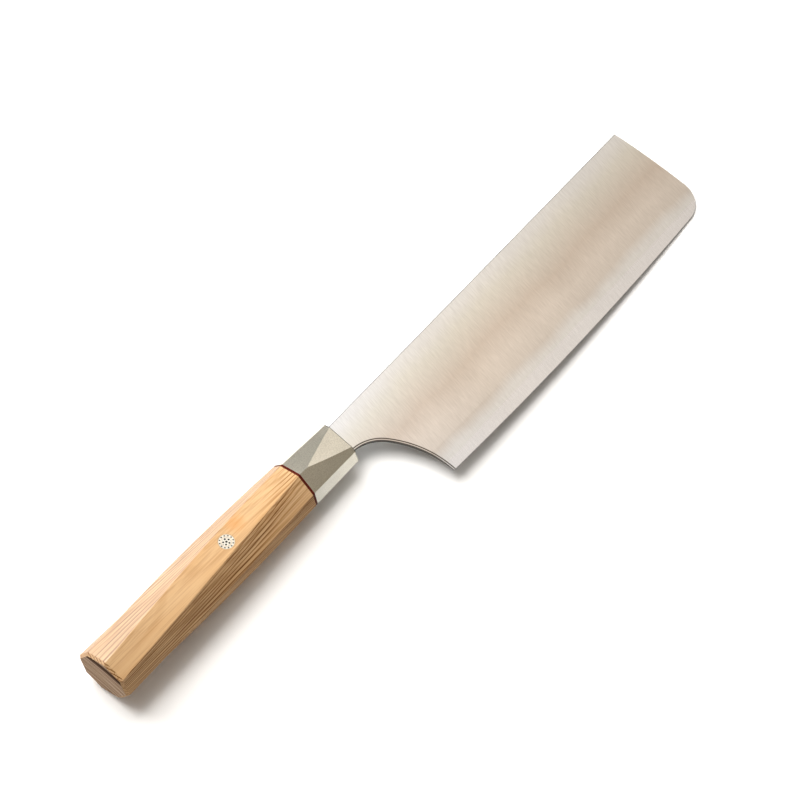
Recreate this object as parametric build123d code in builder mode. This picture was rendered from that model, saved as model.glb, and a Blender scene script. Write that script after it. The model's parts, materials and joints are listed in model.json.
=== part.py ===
from build123d import *
import os
from math import cos, radians, sin, tan

# Nakiri knife with a laminated blade, a faceted bolster and a twisted wooden handle.
# Lengths are in millimetres and angles in degrees. The knife lies on its left side:
# +X runs towards the front of the blade, +Y to the side of the spine and +Z up.

# Blade outline, in the blade's plane: x from the bolster, y from the spine
blade_length = 165.2
heel_gap = 22.6
heel_depth = 47.2
toe_depth = 46.9
toe_lead = 2.75
edge_belly = 1.93
front_bow = 0.75
toe_radius = 11
tip_radius = 1.2
heel_radius = 0.4
neck_depth = 13.6
neck_radius = 17
neck_turn = 52.7

# Blade thickness
spine_thickness = 2.0
front_thickness = 1.7
shoulder_thickness = 1.5
edge_thickness = 0.1
bevel_width = 13
core_thickness = 0.7
spine_ease = 0.25

# How the blade sits on the handle's axis
spine_height = 7.02
spine_rise = 0.95

# Tang
tang_depth = 10
tang_end_depth = 7
tang_length = 95
tang_thickness = 1.8

# Bolster, whose ends are eight-sided, each given by its top, side and shoulder corners
bolster_length = 24.72
rear_top = 10.08
rear_side = 11.12
rear_shoulder_y = 8.41
rear_shoulder_z = 5.76
front_top = 9.0
front_side = 10.56
front_shoulder_y = 7.89
front_shoulder_z = 4.27
facet_reach = 20.44
facet_front_z = 5.56
seal_gap = 0.3

# Spacer
spacer_thickness = 1.1

# Handle
handle_length = 106.15
handle_proud = 0.15
butt_radius = 12.07
butt_stretch_share = 0.05
handle_twist = 41.2
handle_swell = 0.45
ridge_radius = 0.6
butt_slant = 2.5
butt_chamfer = 1.1
bedding_gap = 0.8

# Mosaic pin
pin_back = 64.7
pin_lean = 8.4
pin_diameter = 6.5
pin_wall = 0.22
pin_glue = 0.04
inner_tube_diameter = 4.3
inner_tube_wall = 0.22
outer_rod_count = 12
outer_rod_ring = 2.62
outer_rod_diameter = 0.6
inner_rod_count = 5
inner_rod_ring = 1.25
inner_rod_diameter = 0.8
fine_rod_ring = 1.6
fine_rod_diameter = 0.3
centre_rod_diameter = 0.95

# How far a cut or a blank runs past what it meets
overrun = 5

# Places that follow from the sizes above
tip_x = heel_gap + blade_length
toe_x = tip_x + toe_lead
edge_depth = (heel_depth + toe_depth) / 2 + edge_belly
bevel_depth = edge_depth - bevel_width
wood_x = -bolster_length - spacer_thickness
butt_x = wood_x - handle_length
pin_x = -pin_back


def placed(base, local):
    """Plane in space of a plane written in the coordinates of base."""
    return Plane(base.location * local.location)


def lifted(base, points):
    """Plane through three points of base, with its normal on the upper side."""
    corner, first, second = (Vector(*point) for point in points)
    normal = (first - corner).cross(second - corner)
    return placed(base, Plane(corner, x_dir=first - corner, z_dir=normal))


def eight_corners(top, side, shoulder_y, shoulder_z):
    """Corners of an eight-sided section, from the top one round by the spine's side."""
    half = [(0, top), (shoulder_y, shoulder_z), (side, 0), (shoulder_y, -shoulder_z)]
    return [Vector(y, z) for y, z in half] + [Vector(-y, -z) for y, z in half]


rear_corners = eight_corners(rear_top, rear_side, rear_shoulder_y, rear_shoulder_z)
front_corners = eight_corners(front_top, front_side, front_shoulder_y, front_shoulder_z)


def handle_corners(share, inset=0):
    """Corners of the wood's section, from share 0 at the spacer to share 1 at the butt."""
    corners = []
    for index, corner in enumerate(rear_corners):
        start = corner + corner.normalized() * handle_proud
        end = Vector(0, butt_radius).rotate(Axis.Z, -index * 360 / len(rear_corners))
        blend = start * (1 - share) + end * share
        swell = handle_swell * sin(radians(180 * share)) - inset
        turned = (blend + blend.normalized() * swell).rotate(Axis.Z, handle_twist * share)
        corners.append(Vector(turned.X, turned.Y * (1 + butt_stretch_share * share)))
    return corners


def butt_points(inset):
    """Corners of the slanted end of the wood, in the knife's frame."""
    lean = tan(radians(butt_slant))
    return [Vector(butt_x - corner.X * lean, corner.X, corner.Y)
            for corner in handle_corners(1, inset)]


def on_blade(x, y, z=0):
    """Point of the blade's frame in the knife's frame."""
    return Vector(x, y, z).rotate(Axis.Z, spine_rise) + Vector(0, spine_height)


# The knife's frame has the handle's axis as its x axis and starts at the bolster's front.
# On the floor the knife touches at three points: under the axis the front rim of the
# wood, and the ends of the lower flat along the front of the blade.
front_half = front_thickness / 2
shoulder_half = shoulder_thickness / 2
toe_half = front_half + shoulder_half - spine_thickness / 2
rim_contact = Vector(wood_x, 0, -rear_top - handle_proud)
tip_contact = on_blade(tip_x, 0, -front_half)
toe_contact = on_blade(toe_x, -bevel_depth, -toe_half)
up = (toe_contact - rim_contact).cross(tip_contact - rim_contact).normalized()
ahead = (Vector(1, 0, 0) - up * up.X).normalized()
aside = up.cross(ahead)

# The origin is on the floor, below the middle of the knife's outermost points
chord = toe_x - heel_gap
edge_radius = (chord ** 2 / 4 + edge_belly ** 2) / (2 * edge_belly)
edge_centre = on_blade((heel_gap + toe_x) / 2, edge_radius - edge_depth)
rear_end = min(point.dot(ahead) for point in butt_points(butt_chamfer))
front_end = toe_contact.dot(ahead)
edge_side = edge_centre.dot(aside) - edge_radius
spine_side = max(point.dot(aside) for point in butt_points(0))
origin = (ahead * (rear_end + front_end) / 2 + aside * (edge_side + spine_side) / 2
          + up * rim_contact.dot(up))
floor = Plane(origin, x_dir=ahead, z_dir=up)

# Working planes: the knife's own, and the blade's with the spine as its x axis
knife = Plane(floor.location.inverse())
blade = placed(knife, Plane(on_blade(0, 0), x_dir=on_blade(1, 0) - on_blade(0, 0)))
lean = radians(pin_lean)
pin = placed(knife, Plane((pin_x, 0, 0), x_dir=(1, 0, 0), z_dir=(0, sin(lean), cos(lean))))


def station(x, slant=0):
    """Plane across the handle's axis, facing ahead, with the knife's y and z as its axes."""
    turn = radians(slant)
    return placed(knife, Plane((x, 0, 0), x_dir=(-sin(turn), cos(turn), 0),
                               z_dir=(cos(turn), sin(turn), 0)))


def flat(side):
    """Ground plane of one side between spine and bevel."""
    return lifted(blade, [(0, 0, side * spine_thickness / 2),
                          (0, -bevel_depth, side * shoulder_half),
                          (tip_x, 0, side * front_half)])


def bevel(side):
    """Ground plane of one side from the flat down to the edge."""
    return lifted(blade, [(0, -bevel_depth, side * shoulder_half),
                          (0, -edge_depth, side * edge_thickness / 2),
                          (tip_x, -edge_depth, side * edge_thickness / 2)])


def eased_spine(side):
    """Narrow plane that takes the sharp corner off one side of the spine."""
    return lifted(blade, [(0, 0, side * (spine_thickness / 2 - spine_ease)),
                          (0, -spine_ease, side * spine_thickness / 2),
                          (tip_x, 0, side * (front_half - spine_ease))])


def tang_outline(gap=0):
    """Outline of the tang, grown by a gap on every side but the front."""
    front = tang_depth / 2 + gap
    rear = tang_end_depth / 2 + gap
    end = -tang_length - gap
    with BuildSketch() as outline:
        Polygon((0, front), (end, rear), (end, -rear), (0, -front), align=None)
    return outline.sketch


# Bore for the pin through wood, bedding and tang
with BuildPart() as pin_bore:
    with BuildSketch(pin):
        Circle(pin_diameter / 2 + pin_glue)
    extrude(amount=butt_radius + overrun, both=True)

# Outline of the blade, with the neck running back past the bolster's front face
with BuildSketch() as blade_outline:
    with BuildLine():
        spine = Line((-overrun, 0), (tip_x, 0))
        front = SagittaArc(spine @ 1, (toe_x, -toe_depth), front_bow)
        edge = SagittaArc(front @ 1, (heel_gap, -heel_depth), edge_belly)
        neck = JernArc((0, -neck_depth), (1, 0), neck_radius, -neck_turn)
        TangentArc(neck @ 1, edge @ 1, tangent=neck % 1)
        Polyline(neck @ 0, (-overrun, -neck_depth), spine @ 0)
    make_face()
    corners = blade_outline.vertices()
    fillet(corners.sort_by_distance((toe_x, -toe_depth))[0], radius=toe_radius)
    fillet(corners.sort_by_distance((tip_x, 0))[0], radius=tip_radius)
    fillet(corners.sort_by_distance((heel_gap, -heel_depth))[0], radius=heel_radius)

# Hard core of the blade, the middle layer of blade and tang
with BuildPart() as blade_core:
    with BuildSketch(blade):
        add(blade_outline.sketch)
    extrude(amount=core_thickness / 2, both=True)
    split(bisect_by=bevel(1), keep=Keep.BOTTOM)
    split(bisect_by=bevel(-1), keep=Keep.TOP)
    split(bisect_by=station(0), keep=Keep.TOP)
    with BuildSketch(knife):
        add(tang_outline())
    extrude(amount=core_thickness / 2, both=True)
    add(pin_bore.part, mode=Mode.SUBTRACT)


def cladding(side):
    """Softer outer layer of one side: 1 is the seen side and -1 the lower one."""
    kept = Keep.BOTTOM if side > 0 else Keep.TOP
    with BuildPart() as layer:
        with BuildSketch(blade.offset(side * core_thickness / 2)):
            add(blade_outline.sketch)
        extrude(amount=side * spine_thickness)
        for face in (flat(side), bevel(side), eased_spine(side)):
            split(bisect_by=face, keep=kept)
        split(bisect_by=station(0), keep=Keep.TOP)
        with BuildSketch(knife.offset(side * core_thickness / 2)):
            add(tang_outline())
        extrude(amount=side * (tang_thickness - core_thickness) / 2)
        add(pin_bore.part, mode=Mode.SUBTRACT)
    return layer.part


blade_cladding_right = cladding(1)
blade_cladding_left = cladding(-1)

# Faceted bolster: a tapering octagon with a flat cut above and below towards the blade
with BuildPart() as bolster:
    for x, section in ((-bolster_length, rear_corners), (0, front_corners)):
        with BuildSketch(station(x)):
            Polygon(*section, align=None)
    loft(ruled=True)
    ridge_share = facet_reach / bolster_length
    apex_z = front_top + (rear_top - front_top) * ridge_share
    for side, kept in ((1, Keep.BOTTOM), (-1, Keep.TOP)):
        cut = lifted(knife, [(0, 0, side * facet_front_z), (-facet_reach, 0, side * apex_z),
                             (0, -front_side, side * facet_front_z)])
        split(bisect_by=cut, keep=kept)
    with BuildSketch(knife):
        add(tang_outline(seal_gap))
    extrude(amount=tang_thickness / 2 + seal_gap, both=True, mode=Mode.SUBTRACT)

# Red sheet between bolster and wood
with BuildPart() as spacer:
    with BuildSketch(station(wood_x)):
        Polygon(*rear_corners, align=None)
    extrude(amount=spacer_thickness)
    with BuildSketch(knife):
        add(tang_outline(seal_gap))
    extrude(amount=tang_thickness / 2 + seal_gap, both=True, mode=Mode.SUBTRACT)

# Filler round the tang in the bolster and the spacer
with BuildPart() as tang_seal:
    with BuildSketch(knife):
        add(tang_outline(seal_gap))
    extrude(amount=tang_thickness / 2 + seal_gap, both=True)
    split(bisect_by=station(wood_x), keep=Keep.TOP)
    with BuildSketch(knife):
        add(tang_outline())
    extrude(amount=tang_thickness / 2, both=True, mode=Mode.SUBTRACT)

# Adhesive round the tang in the wood
with BuildPart() as tang_bedding:
    with BuildSketch(knife):
        add(tang_outline(bedding_gap))
    extrude(amount=tang_thickness / 2 + bedding_gap, both=True)
    split(bisect_by=station(wood_x), keep=Keep.BOTTOM)
    with BuildSketch(knife):
        add(tang_outline())
    extrude(amount=tang_thickness / 2, both=True, mode=Mode.SUBTRACT)
    add(pin_bore.part, mode=Mode.SUBTRACT)

# Outer form of the wood: eight sides that turn about the axis, and a chamfered butt
section_shares = [index / 8 for index in range(9)]
with BuildPart() as wood_form:
    for share in section_shares:
        slant = butt_slant if share == 1 else 0
        length = handle_length - butt_chamfer
        with BuildSketch(station(wood_x - length * share, slant)) as section:
            Polygon(*handle_corners(share), align=None)
            fillet(section.vertices(), radius=ridge_radius)
    loft()
    for x, inset in ((butt_x + butt_chamfer, 0), (butt_x, butt_chamfer)):
        with BuildSketch(station(x, butt_slant)) as rim:
            Polygon(*handle_corners(1, inset), align=None)
            fillet(rim.vertices(), radius=ridge_radius)
    loft(ruled=True)

# Wooden handle with its blind slot for the tang and its cross bore
with BuildPart() as handle:
    add(wood_form.part)
    with BuildSketch(knife):
        add(tang_outline(bedding_gap))
    extrude(amount=tang_thickness / 2 + bedding_gap, both=True, mode=Mode.SUBTRACT)
    add(pin_bore.part, mode=Mode.SUBTRACT)

# Rods and tubes of the mosaic pin, drawn across its axis
tube_bore = pin_diameter / 2 - pin_wall
inner_tube_radius = inner_tube_diameter / 2
half_step = 180 / inner_rod_count

with BuildSketch() as tube_section:
    Circle(pin_diameter / 2)
    Circle(tube_bore, mode=Mode.SUBTRACT)

with BuildSketch() as inner_tube_section:
    Circle(inner_tube_radius)
    Circle(inner_tube_radius - inner_tube_wall, mode=Mode.SUBTRACT)

with BuildSketch() as outer_rod_section:
    with PolarLocations(outer_rod_ring, outer_rod_count):
        Circle(outer_rod_diameter / 2)

with BuildSketch() as inner_rod_section:
    with PolarLocations(inner_rod_ring, inner_rod_count):
        Circle(inner_rod_diameter / 2)

with BuildSketch() as fine_rod_section:
    with PolarLocations(fine_rod_ring, inner_rod_count, start_angle=half_step):
        Circle(fine_rod_diameter / 2)

with BuildSketch() as centre_rod_section:
    Circle(centre_rod_diameter / 2)

pin_sections = {
    "pin_tube": tube_section.sketch,
    "pin_inner_tube": inner_tube_section.sketch,
    "pin_outer_rods": outer_rod_section.sketch,
    "pin_inner_rods": inner_rod_section.sketch,
    "pin_fine_rods": fine_rod_section.sketch,
    "pin_centre_rod": centre_rod_section.sketch,
}

with BuildSketch() as filler_section:
    Circle(tube_bore)
    for name, section in pin_sections.items():
        if name != "pin_tube":
            add(section, mode=Mode.SUBTRACT)


def pin_piece(section):
    """Piece of the pin with this cross-section, ground flush with the wood."""
    with BuildPart() as piece:
        with BuildSketch(pin):
            add(section)
        extrude(amount=butt_radius + overrun, both=True)
        add(wood_form.part, mode=Mode.INTERSECT)
    return piece.part


pieces = {
    "blade_core": blade_core.part,
    "blade_cladding_right": blade_cladding_right,
    "blade_cladding_left": blade_cladding_left,
    "bolster": bolster.part,
    "tang_seal": tang_seal.part,
    "spacer": spacer.part,
    "handle": handle.part,
    "tang_bedding": tang_bedding.part,
    "pin_filler": pin_piece(filler_section.sketch),
}
for name, section in pin_sections.items():
    pieces[name] = pin_piece(section)

os.makedirs("parts", exist_ok=True)
for name, piece in pieces.items():
    piece.label = name
    export_step(piece, f"parts/{name}.step")
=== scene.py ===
import json
from math import cos, radians, sin

import bpy
from mathutils import Matrix, Vector

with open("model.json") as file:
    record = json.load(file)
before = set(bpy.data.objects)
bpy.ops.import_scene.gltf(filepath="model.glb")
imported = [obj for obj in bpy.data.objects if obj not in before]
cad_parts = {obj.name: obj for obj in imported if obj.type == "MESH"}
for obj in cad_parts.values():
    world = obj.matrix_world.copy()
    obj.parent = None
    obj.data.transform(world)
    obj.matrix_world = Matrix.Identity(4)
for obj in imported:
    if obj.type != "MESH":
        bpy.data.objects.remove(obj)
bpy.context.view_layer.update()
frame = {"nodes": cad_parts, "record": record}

# Metres throughout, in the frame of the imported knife
MM = 0.001

# Place of the two flats' mount points in the blade's own plane
MOUNT_FROM_BOLSTER = 105.2 * MM
MOUNT_FROM_SPINE = 17.99 * MM

# Turn and height of the blade's frame in the knife's, whose x is the handle's axis
SPINE_RISE = radians(0.95)
SPINE_HEIGHT = 7.02 * MM

# Camera, in the blade's frame: x along the spine, y from edge to spine, z out of the face. Lens
# and sensor are in millimetres, as Blender takes them
CAMERA_PLACE = Vector((-393.27, -160.0, 906.86)) * MM
CAMERA_RIGHT = Vector((0.63079, -0.75664, 0.17206))
CAMERA_DOWN = Vector((-0.65308, -0.63743, -0.40885))
CAMERA_LENS = 116.24
SENSOR_WIDTH = 36.0


# Frames of the knife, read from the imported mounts

def blade_frame():
    """Matrix from the blade's frame, at the spine above the bolster's front, to the world's."""
    mounts = {mount["name"]: mount for mount in frame["record"]["mounts"]}
    right, left = mounts["right_flat"], mounts["left_flat"]
    normal = (Vector(right["axis"]) - Vector(left["axis"])).normalized()
    handle_way = Vector((0, 1, 0)).cross(normal).normalized()
    along = Matrix.Rotation(SPINE_RISE, 3, normal) @ handle_way
    across = normal.cross(along)
    middle = (Vector(right["pos_m"]) + Vector(left["pos_m"])) / 2
    origin = middle - along * MOUNT_FROM_BOLSTER + across * MOUNT_FROM_SPINE
    return Matrix.Translation(origin) @ Matrix((along, across, normal)).transposed().to_4x4()


BLADE = blade_frame()
KNIFE = BLADE @ Matrix.Rotation(-SPINE_RISE, 4, "Z") @ Matrix.Translation((0, -SPINE_HEIGHT, 0))


def set_camera():
    """Camera at the photograph's angle."""
    data = bpy.data.cameras.new("camera")
    data.lens = CAMERA_LENS
    data.sensor_width = SENSOR_WIDTH
    camera = bpy.data.objects.new("camera", data)
    bpy.context.collection.objects.link(camera)
    right = CAMERA_RIGHT.normalized()
    upward = -(CAMERA_DOWN - right * CAMERA_DOWN.dot(right)).normalized()
    turn = Matrix((right, upward, right.cross(upward))).transposed().to_4x4()
    camera.matrix_world = BLADE @ Matrix.Translation(CAMERA_PLACE) @ turn
    bpy.context.scene.camera = camera


set_camera()


# Node helpers

UNIT = (0.0, 1.0)


def new_material(name):
    """Empty node material with a Principled shader; returns material, tree and shader."""
    material = bpy.data.materials.new(name)
    material.use_nodes = True
    tree = material.node_tree
    return material, tree, tree.nodes["Principled BSDF"]


def feed(tree, made, inputs):
    """Gives a node its inputs: a socket is linked, a value is set."""
    for key, value in inputs.items():
        if isinstance(value, bpy.types.NodeSocket):
            tree.links.new(value, made.inputs[key])
        else:
            made.inputs[key].default_value = value


def node(tree, kind, inputs, **settings):
    """Adds a node, sets its options and feeds its inputs."""
    made = tree.nodes.new(kind)
    for key, value in settings.items():
        setattr(made, key, value)
    feed(tree, made, inputs)
    return made


def maths(tree, operation, *values):
    """Result of a math node on one to three values."""
    made = node(tree, "ShaderNodeMath", dict(enumerate(values)), operation=operation)
    return made.outputs["Value"]


def vector_maths(tree, operation, *values):
    """Result of a vector math node: a number for the three operations that give one."""
    made = node(tree, "ShaderNodeVectorMath", dict(enumerate(values)), operation=operation)
    gives_number = operation in ("DISTANCE", "LENGTH", "DOT_PRODUCT")
    return made.outputs["Value" if gives_number else "Vector"]


def scaled(tree, vector, scale):
    """Vector multiplied axis by axis."""
    return vector_maths(tree, "MULTIPLY", vector, scale)


def split(tree, vector):
    """The X, Y and Z of a vector."""
    return node(tree, "ShaderNodeSeparateXYZ", {"Vector": vector}).outputs


def on_plane(tree, first, second):
    """Vector from two numbers, with no third."""
    return node(tree, "ShaderNodeCombineXYZ", {"X": first, "Y": second}).outputs["Vector"]


def mapped(tree, value, source, target=UNIT, **settings):
    """Value mapped from the source range to the target range and held at both ends."""
    inputs = {"Value": value, "From Min": source[0], "From Max": source[1],
              "To Min": target[0], "To Max": target[1]}
    return node(tree, "ShaderNodeMapRange", inputs, **settings).outputs["Result"]


def noise(tree, place, rate, detail, roughness=0.5):
    """Outputs of a noise with one rate per metre for each axis, or one for all three."""
    if isinstance(rate, tuple):
        place, rate = scaled(tree, place, rate), 1.0
    inputs = {"Vector": place, "Scale": rate, "Detail": detail, "Roughness": roughness}
    return node(tree, "ShaderNodeTexNoise", inputs).outputs


def ramp(tree, factor, stops):
    """Colour ramp through (position, colour) stops."""
    made = node(tree, "ShaderNodeValToRGB", {"Fac": factor})
    elements = made.color_ramp.elements
    while len(elements) < len(stops):
        elements.new(0.5)
    for element, (position, colour) in zip(elements, stops):
        element.position = position
        element.color = (*colour, 1)
    return made.outputs["Color"]


def mixed(tree, share, first, second, blend="MIX"):
    """First colour with a share of the second, which is a socket or three numbers."""
    if isinstance(second, tuple):
        second = (*second, 1)
    return node(tree, "ShaderNodeMix", {"Factor": share, "A": first, "B": second},
                data_type="RGBA", blend_type=blend).outputs["Result"]


def multiplied(tree, first, second, share=1.0):
    """First colour multiplied by a share of the second."""
    return mixed(tree, share, first, second, "MULTIPLY")


def relief(tree, height, strength, depth):
    """Normal of a fine relief."""
    inputs = {"Height": height, "Strength": strength, "Distance": depth}
    return node(tree, "ShaderNodeBump", inputs).outputs["Normal"]


def local_coordinates(tree, matrix):
    """Object coordinates turned into one of the knife's frames, in metres."""
    inverse = matrix.inverted()
    place = node(tree, "ShaderNodeTexCoord", {}).outputs["Object"]
    inputs = {"Vector": place, "Location": inverse.to_translation(),
              "Rotation": inverse.to_euler()}
    return node(tree, "ShaderNodeMapping", inputs).outputs["Vector"]


def local_normal(tree, matrix):
    """Surface normal turned into one of the knife's frames."""
    normal = node(tree, "ShaderNodeNewGeometry", {}).outputs["Normal"]
    inputs = {"Vector": normal, "Rotation": matrix.inverted().to_euler()}
    return node(tree, "ShaderNodeMapping", inputs, vector_type="VECTOR").outputs["Vector"]


# Materials

# Every rate of a noise or a wave is per metre. Tones are pairs of a position and a colour, and
# each relief is a strength and a depth. A span says where a change starts and where it is full
WHITE = (1, 1, 1)
BLACK = (0, 0, 0)

# The two arcs of the choil in the blade's frame: the neck's, and the one on to the heel
NECK_RADIUS = 17.0 * MM
NECK_DEPTH = 13.6 * MM
NECK_CENTRE = Vector((0.0, -NECK_DEPTH - NECK_RADIUS, 0.0))
NECK_TURN = radians(52.7)
HEEL = Vector((22.6, -47.2, 0.0)) * MM

# Painted shade and highlight on the choil's eased rim, from its edge inwards: a dark line of
# painted shade, a bright one of painted highlight and a dark one of painted shade
CHOIL_RIM = 1.5 * MM
CHOIL_SHADE = (0.13, 0.115, 0.10)
CHOIL_SHADING_TONES = [(0.0, CHOIL_SHADE), (0.08, CHOIL_SHADE), (0.18, WHITE), (0.32, WHITE),
               (0.4, CHOIL_SHADE), (0.64, CHOIL_SHADE), (0.76, WHITE)]


def choil_painted_shading(tree, place):
    """Painted shade and highlight of the eased rim along the choil, by the distance from its two
    arcs.
    """
    away = Vector((sin(NECK_TURN), cos(NECK_TURN), 0))
    join = NECK_CENTRE + away * NECK_RADIUS
    chord = HEEL - join
    heel_radius = chord.length_squared / (2 * chord.dot(away))
    heel_centre = join + away * heel_radius
    flat_place = scaled(tree, place, (1, 1, 0))
    gaps = []
    for centre, radius in ((NECK_CENTRE, NECK_RADIUS), (heel_centre, abs(heel_radius))):
        reach = vector_maths(tree, "DISTANCE", flat_place, centre)
        gaps.append(maths(tree, "ABSOLUTE", maths(tree, "SUBTRACT", reach, radius)))
    past_join = maths(tree, "LESS_THAN", split(tree, place)["Y"], join.y)
    gap = node(tree, "ShaderNodeMix", {"Factor": past_join, "A": gaps[0], "B": gaps[1]})
    return ramp(tree, mapped(tree, gap.outputs["Result"], (0.0, CHOIL_RIM)), CHOIL_SHADING_TONES)


# Grinding lines of the blade and slow clouds between them
GRIND_SLANT = radians(-8)
GRIND_NOISE = {"rate": (2600, 190, 190), "detail": 4.0, "roughness": 0.6}
GRIND_TONES = [(0.32, (0.70, 0.69, 0.68)), (0.68, WHITE)]
GRIND_RELIEF = (0.15, 0.02 * MM)
CLOUD_NOISE = {"rate": (40, 18, 18), "detail": 2.0}
CLOUD_LOW = 0.3
CLOUD_HIGH = 0.7
CLOUD_LIFT = 1.06

# Bands of tone from spine to edge, which wander with the clouds by a share of the depth
BLADE_DEPTH = 49.0 * MM
WANDER_SHARE = 0.12
EVEN_TONES = [(0.0, WHITE), (1.0, WHITE)]
FACE_TONES = [(0.0, WHITE), (0.12, (0.98, 0.975, 0.95)), (0.25, (0.91, 0.88, 0.79)),
              (0.5, (0.80, 0.70, 0.60)), (0.68, (0.89, 0.81, 0.72)),
              (0.82, (0.84, 0.77, 0.69)), (0.91, (0.94, 0.93, 0.90))]

# The flats turn whiter towards the bolster and darker towards the toe, and a dark line of
# painted shade runs along the spine's eased corner
NECK_SPAN = (60.0 * MM, 0.0)
NECK_TONE = (1.0, 1.04, 1.11)
TOE_SPAN = (95.0 * MM, 155.0 * MM)
TOE_TONE = (0.935, 0.935, 0.935)
SPINE_SHADE_SPAN = (-0.4 * MM, -0.2 * MM)
SPINE_SHADE_TONE = (0.3, 0.3, 0.3)

# Narrow faces get painted shade, a tint darker than the flats, by how much of their normal
# points out of the blade's plane
NARROW_SHADE_SPAN = (0.5, 0.2)


def steel(name, tint, side_shade_tint, roughness, grinding, bands):
    """Satin steel with grinding lines and bands; narrow faces get a darker tint of painted
    shade, and the spine and choil get lines of painted shade and highlight.
    """
    material, tree, shader = new_material(name)
    place = local_coordinates(tree, BLADE)
    axes = split(tree, place)
    slanted = local_coordinates(tree, BLADE @ Matrix.Rotation(GRIND_SLANT, 4, "Z"))
    lines = noise(tree, slanted, **GRIND_NOISE)["Fac"]
    clouds = noise(tree, place, **CLOUD_NOISE)["Fac"]
    lifted = tuple(value * CLOUD_LIFT for value in tint)
    tone = ramp(tree, clouds, [(CLOUD_LOW, tint), (CLOUD_HIGH, lifted)])
    tone = multiplied(tree, tone, ramp(tree, lines, GRIND_TONES), grinding)

    wander = maths(tree, "MULTIPLY", clouds, BLADE_DEPTH * WANDER_SHARE)
    height = maths(tree, "SUBTRACT", axes["Y"], wander)
    from_spine = mapped(tree, height, (0.0, -BLADE_DEPTH))
    tone = multiplied(tree, tone, ramp(tree, from_spine, bands))
    # Whiter towards the bolster, darker towards the toe, and painted shade along the spine
    for axis, span, change in (("X", NECK_SPAN, NECK_TONE), ("X", TOE_SPAN, TOE_TONE),
                               ("Y", SPINE_SHADE_SPAN, SPINE_SHADE_TONE)):
        tone = multiplied(tree, tone, change, mapped(tree, axes[axis], span))

    # Narrow faces take the darker tint, a painted shade
    sideways = maths(tree, "ABSOLUTE", split(tree, local_normal(tree, BLADE))["Z"])
    tone = mixed(tree, mapped(tree, sideways, NARROW_SHADE_SPAN), tone, side_shade_tint)
    # Painted shade and highlight along the choil's rim
    tone = multiplied(tree, tone, choil_painted_shading(tree, place))
    feed(tree, shader, {"Base Color": tone, "Metallic": 1.0, "Roughness": roughness,
                        "Normal": relief(tree, lines, *GRIND_RELIEF)})
    return material


# Fine mottle of the small parts
MOTTLE_NOISE = {"rate": 400.0, "detail": 4.0}
MOTTLE_LOW = 0.35
MOTTLE_HIGH = 0.65
MOTTLE_DARK = 0.8
MOTTLE_RELIEF = (0.2, 0.03 * MM)


def plain(name, colour, roughness, metallic=0.0, specular=0.5):
    """Small-part material with a fine mottle."""
    material, tree, shader = new_material(name)
    mottle = noise(tree, local_coordinates(tree, KNIFE), **MOTTLE_NOISE)["Fac"]
    darker = tuple(value * MOTTLE_DARK for value in colour)
    tone = ramp(tree, mottle, [(MOTTLE_LOW, darker), (MOTTLE_HIGH, colour)])
    feed(tree, shader, {"Base Color": tone, "Roughness": roughness, "Metallic": metallic,
                        "Specular IOR Level": specular,
                        "Normal": relief(tree, mottle, *MOTTLE_RELIEF)})
    return material


# Bolster: a blasted grain, slow haze, and facets painted darker the more they face the edge, a
# painted shade
BLAST_NOISE = {"rate": 2600.0, "detail": 4.0}
BLAST_TONES = [(0.35, (0.80, 0.755, 0.64)), (0.65, (1.0, 0.955, 0.825))]
BLAST_RELIEF = (0.2, 0.02 * MM)
HAZE_NOISE = {"rate": 110.0, "detail": 2.0}
HAZE_TONES = [(0.3, (0.92, 0.92, 0.91)), (0.7, WHITE)]
FACET_SHADE_SPAN = (-1.0, 0.0)
FACET_SHADE_MIDDLE = (0.86, 0.86, 0.86)
FACET_SHADE_TONES = [(0.08, (0.46, 0.475, 0.50)), (0.2, FACET_SHADE_MIDDLE), (0.5, FACET_SHADE_MIDDLE),
               (0.85, WHITE)]
BOLSTER_ROUGHNESS = 0.32

# Painted shade: a dark line along the bolster's front rim, back from the knife's zero
RIM_SHADE_SPAN = (-0.35 * MM, -0.175 * MM)
RIM_SHADE_SHARES = (0.0, 0.75)
RIM_SHADE_COLOUR = (0.07, 0.06, 0.05)


def bolster_steel():
    """Warm satin metal with a fine blasted grain, facets painted darker towards the edge's side
    as painted shade, and a painted shade line at the front rim.
    """
    material, tree, shader = new_material("bolster_steel")
    place = local_coordinates(tree, KNIFE)
    grain = noise(tree, place, **BLAST_NOISE)["Fac"]
    haze = noise(tree, place, **HAZE_NOISE)["Fac"]
    tone = multiplied(tree, ramp(tree, grain, BLAST_TONES), ramp(tree, haze, HAZE_TONES))
    # Painted shade: facets turned towards the edge's side are darker
    facing = mapped(tree, split(tree, local_normal(tree, KNIFE))["Y"], FACET_SHADE_SPAN)
    tone = multiplied(tree, tone, ramp(tree, facing, FACET_SHADE_TONES))
    # Painted shade line at the front rim
    rim = mapped(tree, split(tree, place)["X"], RIM_SHADE_SPAN, RIM_SHADE_SHARES)
    feed(tree, shader, {"Base Color": mixed(tree, rim, tone, RIM_SHADE_COLOUR), "Metallic": 1.0,
                        "Roughness": BOLSTER_ROUGHNESS,
                        "Normal": relief(tree, grain, *BLAST_RELIEF)})
    return material


# Growth layers of the wood run round this line, under the handle and along it, with a slow drift
RING_CENTRE = Vector((0.0, 3.0, -55.0)) * MM
DRIFT_NOISE = {"rate": (9, 30, 30), "detail": 1.0}
DRIFT_REACH = Vector((0.0, 1.5, 1.5)) * MM


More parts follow.
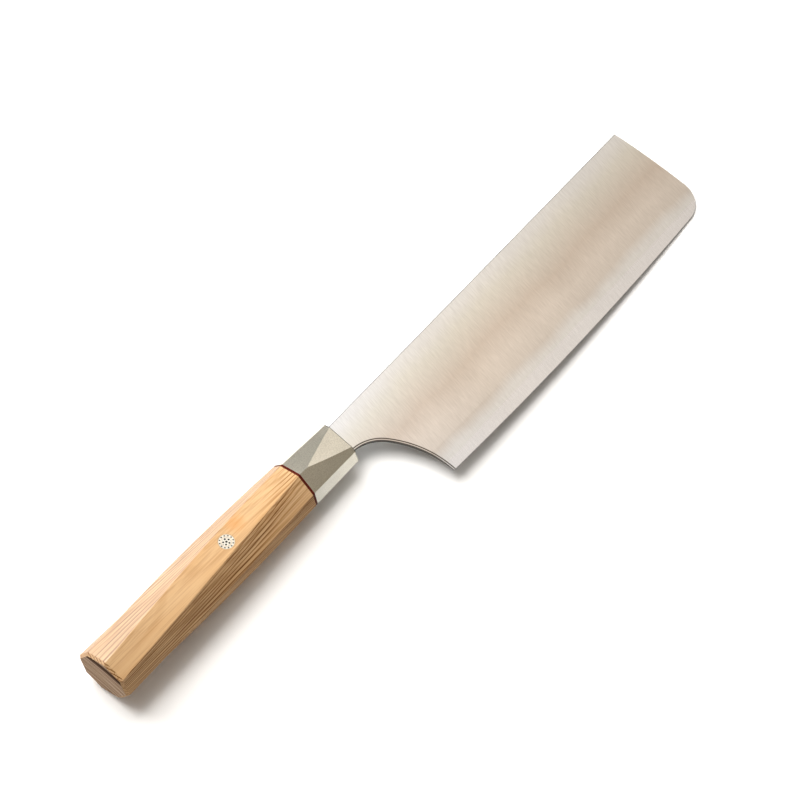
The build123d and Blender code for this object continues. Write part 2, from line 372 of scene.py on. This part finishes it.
def growth_rings(tree, place):
    """Place seen from the ring centre, its distance from there and the way outward."""
    drift = noise(tree, place, **DRIFT_NOISE)["Color"]
    bent = vector_maths(tree, "ADD", place, scaled(tree, drift, DRIFT_REACH))
    centred = vector_maths(tree, "ADD", bent, -RING_CENTRE)
    across = scaled(tree, centred, (0, 1, 1))
    return (split(tree, centred), vector_maths(tree, "LENGTH", across),
            vector_maths(tree, "NORMALIZE", across))


# Late wood: one brown line in each layer, with a weight of its own
LATE_WAVE = {"Scale": 400.0, "Distortion": 3.5, "Detail": 2.0, "Detail Scale": 0.7}
LATE_STRETCH = (0.04, 1, 1)
LATE_TONES = [(0.62, BLACK), (0.92, WHITE)]
WEIGHT_NOISE = {"rate": (9, 900, 1), "detail": 2.0}
WEIGHT_SPAN = (0.35, 0.62)
WEIGHTS = (0.35, 1.0)


def late_wood(tree, along, ring):
    """Strength of the brown lines."""
    place = on_plane(tree, along, ring)
    wave = node(tree, "ShaderNodeTexWave",
                {"Vector": scaled(tree, place, LATE_STRETCH), **LATE_WAVE},
                wave_type="BANDS", bands_direction="Y", wave_profile="SIN")
    line = ramp(tree, wave.outputs["Fac"], LATE_TONES)
    strength = noise(tree, place, **WEIGHT_NOISE)["Fac"]
    return maths(tree, "MULTIPLY", line, mapped(tree, strength, WEIGHT_SPAN, WEIGHTS))


# Layers, warm clouds and fibres. Lines and fibres calm down where a layer lies flat in the
# surface
CALM_SPAN = (0.88, 0.95)
CALM_SHARES = (1.0, 0.12)
LAYER_TONES = [(0.0, (0.53, 0.345, 0.185)), (0.3, (0.44, 0.265, 0.125)),
               (0.9, (0.17, 0.07, 0.022))]
WARM_NOISE = {"rate": (22, 130, 130), "detail": 2.0}
WARM_TONES = [(0.42, WHITE), (0.62, (0.88, 0.76, 0.6))]
WARM_SHARE = 0.4
FIBRE_NOISE = {"rate": (30, 1900, 1900), "detail": 3.0}
FIBRE_TONES = [(0.36, (0.50, 0.38, 0.28)), (0.56, (1.06, 1.05, 1.03))]
FIBRE_SHARES = (0.25, 0.75)
FIBRE_RELIEF = (0.3, 0.06 * MM)


def grain_colour(tree, place, calm, lines, fibres):
    """Colour of the long sides of the wood."""
    tone = ramp(tree, maths(tree, "MULTIPLY", lines, calm), LAYER_TONES)
    warmth = noise(tree, place, **WARM_NOISE)["Fac"]
    tone = multiplied(tree, tone, ramp(tree, warmth, WARM_TONES), WARM_SHARE)
    share = mapped(tree, calm, UNIT, FIBRE_SHARES)
    return multiplied(tree, tone, ramp(tree, fibres, FIBRE_TONES), share)


# Orange patch ahead of the pin, which the fibres give a ragged rim
PATCH_PLACE = Vector((-56.5, 5.0, 12.0)) * MM
PATCH_REACH = 6.0 * MM
PATCH_RAGGED = PATCH_REACH * 0.5
PATCH_SPAN = (PATCH_REACH * 0.5, PATCH_REACH * 1.2)
PATCH_SHARES = (0.7, 0.0)
PATCH_COLOUR = (0.52, 0.22, 0.06)


def orange_patch(tree, tone, place, fibres):
    """Wood colour with the orange patch."""
    gap = vector_maths(tree, "DISTANCE", place, PATCH_PLACE)
    ragged = maths(tree, "ADD", gap, maths(tree, "MULTIPLY", fibres, PATCH_RAGGED))
    return mixed(tree, mapped(tree, ragged, PATCH_SPAN, PATCH_SHARES), tone, PATCH_COLOUR)


# The facet towards the spine is painted paler, a painted light from the spine's side. It turns
# with the wood's twist
WOOD_START = -25.82 * MM
WOOD_LENGTH = 106.15 * MM
WOOD_TWIST = radians(41.2)
PAINTED_LIGHT_SPAN = (0.55, 0.8)
PAINTED_LIGHT_SHARES = (0.0, 0.34)
PAINTED_LIGHT_COLOUR = (0.54, 0.44, 0.375)


def painted_light_facet(tree, tone, along, normal):
    """Wood colour with a painted light on the facet towards the spine, which is singled out with
    the twist undone.
    """
    rate = WOOD_TWIST / WOOD_LENGTH
    turn = maths(tree, "MULTIPLY_ADD", along, -rate, rate * WOOD_START)
    facing = split(tree, normal)
    parts = [maths(tree, "MULTIPLY", facing[axis], maths(tree, operation, turn))
             for axis, operation in (("Y", "COSINE"), ("Z", "SINE"))]
    spineward = maths(tree, "ADD", *parts)
    return mixed(tree, mapped(tree, spineward, PAINTED_LIGHT_SPAN, PAINTED_LIGHT_SHARES), tone, PAINTED_LIGHT_COLOUR)


# Cut end: darker layers, and a crack that follows one of them, CRACK_RING from the ring centre
CUT_SPAN = (0.75, 0.9)
END_NOISE = {"rate": (16, 1000, 1), "detail": 3.0, "roughness": 0.6}
END_TONES = [(0.38, (0.15, 0.085, 0.055)), (0.5, (0.32, 0.215, 0.14)),
             (0.62, (0.52, 0.40, 0.30))]
CRACK_RING = 64.0 * MM
CRACK_WIDTH = 2.8 * MM
CRACK_WIDTHS = (CRACK_WIDTH / 3, CRACK_WIDTH)
CRACK_SPAN = (-16.0 * MM, -8.0 * MM)
CRACK_COLOUR = (0.03, 0.012, 0.006)


def cut_end(tree, across, ring):
    """Colour of the cut end, where the crack gets narrow towards the edge's side."""
    layers = noise(tree, on_plane(tree, across, ring), **END_NOISE)["Fac"]
    gap = maths(tree, "ABSOLUTE", maths(tree, "SUBTRACT", ring, CRACK_RING))
    width = mapped(tree, across, CRACK_SPAN, CRACK_WIDTHS)
    crack = mapped(tree, gap, (0.0, width), (1.0, 0.0), interpolation_type="SMOOTHSTEP")
    return mixed(tree, crack, ramp(tree, layers, END_TONES), CRACK_COLOUR)


# Roughness of the wood's sides and of its cut end, and its gloss
WOOD_ROUGHNESS = (0.55, 1.0)
WOOD_GLOSS = 0.05


def wood():
    """Straight-grained conifer wood with a patch, a painted light on the facet towards the
    spine, and a cut end.
    """
    material, tree, shader = new_material("wood")
    place = local_coordinates(tree, KNIFE)
    normal = local_normal(tree, KNIFE)
    axes, ring, outward = growth_rings(tree, place)
    lying = vector_maths(tree, "DOT_PRODUCT", normal, outward)
    calm = mapped(tree, lying, CALM_SPAN, CALM_SHARES)
    fibres = noise(tree, place, **FIBRE_NOISE)["Fac"]
    tone = grain_colour(tree, place, calm, late_wood(tree, axes["X"], ring), fibres)
    tone = orange_patch(tree, tone, place, fibres)
    # Painted light on the facet towards the spine
    tone = painted_light_facet(tree, tone, axes["X"], normal)
    rearward = vector_maths(tree, "DOT_PRODUCT", normal, (-1, 0, 0))
    cut = mapped(tree, rearward, CUT_SPAN)
    tone = mixed(tree, cut, tone, cut_end(tree, axes["Y"], ring))
    feed(tree, shader, {"Base Color": tone, "Specular IOR Level": WOOD_GLOSS,
                        "Roughness": mapped(tree, cut, UNIT, WOOD_ROUGHNESS),
                        "Normal": relief(tree, fibres, *FIBRE_RELIEF)})
    return material


# The finish of each CAD node

core_steel = steel("core_steel", tint=(0.64, 0.62, 0.605), side_shade_tint=(0.35, 0.33, 0.31),
                   roughness=0.27, grinding=0.3, bands=EVEN_TONES)
clad_steel = steel("clad_steel", tint=(0.69, 0.675, 0.66), side_shade_tint=(0.10, 0.09, 0.08),
                   roughness=0.29, grinding=0.48, bands=FACE_TONES)
red_fibre = plain("red_fibre", (0.085, 0.010, 0.005), roughness=0.6, specular=0.1)
resin = plain("resin", (0.05, 0.045, 0.04), roughness=0.5)
pin_metal = plain("pin_metal", (0.55, 0.42, 0.27), roughness=0.45, metallic=0.5)
pin_filler = plain("pin_filler", (0.60, 0.56, 0.48), roughness=0.5)
pin_dark = plain("pin_dark", (0.012, 0.01, 0.008), roughness=0.4)
pin_grey = plain("pin_grey", (0.14, 0.12, 0.10), roughness=0.4)

finishes = {
    "blade_core": core_steel, "blade_cladding_right": clad_steel,
    "blade_cladding_left": clad_steel, "bolster": bolster_steel(), "tang_seal": resin,
    "spacer": red_fibre, "handle": wood(), "tang_bedding": resin, "pin_tube": pin_metal,
    "pin_inner_tube": pin_metal, "pin_outer_rods": pin_dark, "pin_inner_rods": pin_dark,
    "pin_fine_rods": pin_grey, "pin_centre_rod": pin_dark, "pin_filler": pin_filler,
}
for node_name, finish in finishes.items():
    for slot in frame["nodes"][node_name].material_slots:
        slot.material = finish


# Floor and light

FLOOR_SIZE = 4.0
FLOOR_COLOUR = (0.93, 0.93, 0.93, 1)
FLOOR_ROUGHNESS = 0.9

# Softboxes in the blade's frame: place, target, size, energy, colour, and whether metal mirrors
# them. The key comes from the spine's side, and metal mirrors the sheet behind it instead. The
# rim lights the spine's side from low down, the fill the edge's side, and the blade's face
# reflects the card
SOFT_WHITE = (1.0, 0.985, 0.96)
SOFTBOXES = {
    "key": ((-0.12, 0.65, 0.97), (0.03, 0, 0), (0.8, 0.8), 18.5, SOFT_WHITE, False),
    "sheet": ((-0.13, 0.75, 1.12), (0.03, 0, 0), (1.5, 1.5), 9.0, SOFT_WHITE, True),
    "rim": ((-0.1, 1.1, 0.3), (-0.05, 0, 0), (0.5, 0.3), 4.0, (0.8, 0.92, 1.0), True),
    "fill": ((0.48, -0.64, 0.61), (0, 0, 0), (0.6, 0.6), 0.2, (1.0, 0.84, 0.6), True),
    "card": ((0.52, 0.12, 0.98), (0.08, 0, 0), (0.9, 0.9), 2.6, (1.0, 0.94, 0.88), True),
}
WORLD_COLOUR = (1, 0.93, 0.85, 1)
WORLD_STRENGTH = 0.2


def floor():
    """Pale floor that the knife lies on."""
    bpy.ops.mesh.primitive_plane_add(size=FLOOR_SIZE, location=(0, 0, 0))
    sheet = bpy.context.object
    sheet.name = "floor"
    material, tree, shader = new_material("floor")
    feed(tree, shader, {"Base Color": FLOOR_COLOUR, "Roughness": FLOOR_ROUGHNESS,
                        "Specular IOR Level": 0.0})
    sheet.data.materials.append(material)


def softbox(name, place, target, size, energy, colour, mirrored):
    """Rectangular area light in the blade's frame."""
    data = bpy.data.lights.new(name, "AREA")
    data.shape = "RECTANGLE"
    data.size, data.size_y = size
    data.energy = energy
    data.color = colour
    lamp = bpy.data.objects.new(name, data)
    lamp.visible_glossy = mirrored
    bpy.context.collection.objects.link(lamp)
    place, target = BLADE @ Vector(place), BLADE @ Vector(target)
    lamp.matrix_world = (Matrix.Translation(place)
                         @ (target - place).to_track_quat("-Z", "Y").to_matrix().to_4x4())


floor()
for box_name, settings in SOFTBOXES.items():
    softbox(box_name, *settings)

world = bpy.data.worlds.new("studio")
bpy.context.scene.world = world
world.use_nodes = True
feed(world.node_tree, world.node_tree.nodes["Background"],
     {"Color": WORLD_COLOUR, "Strength": WORLD_STRENGTH})

bpy.context.scene.view_settings.view_transform = "Standard"
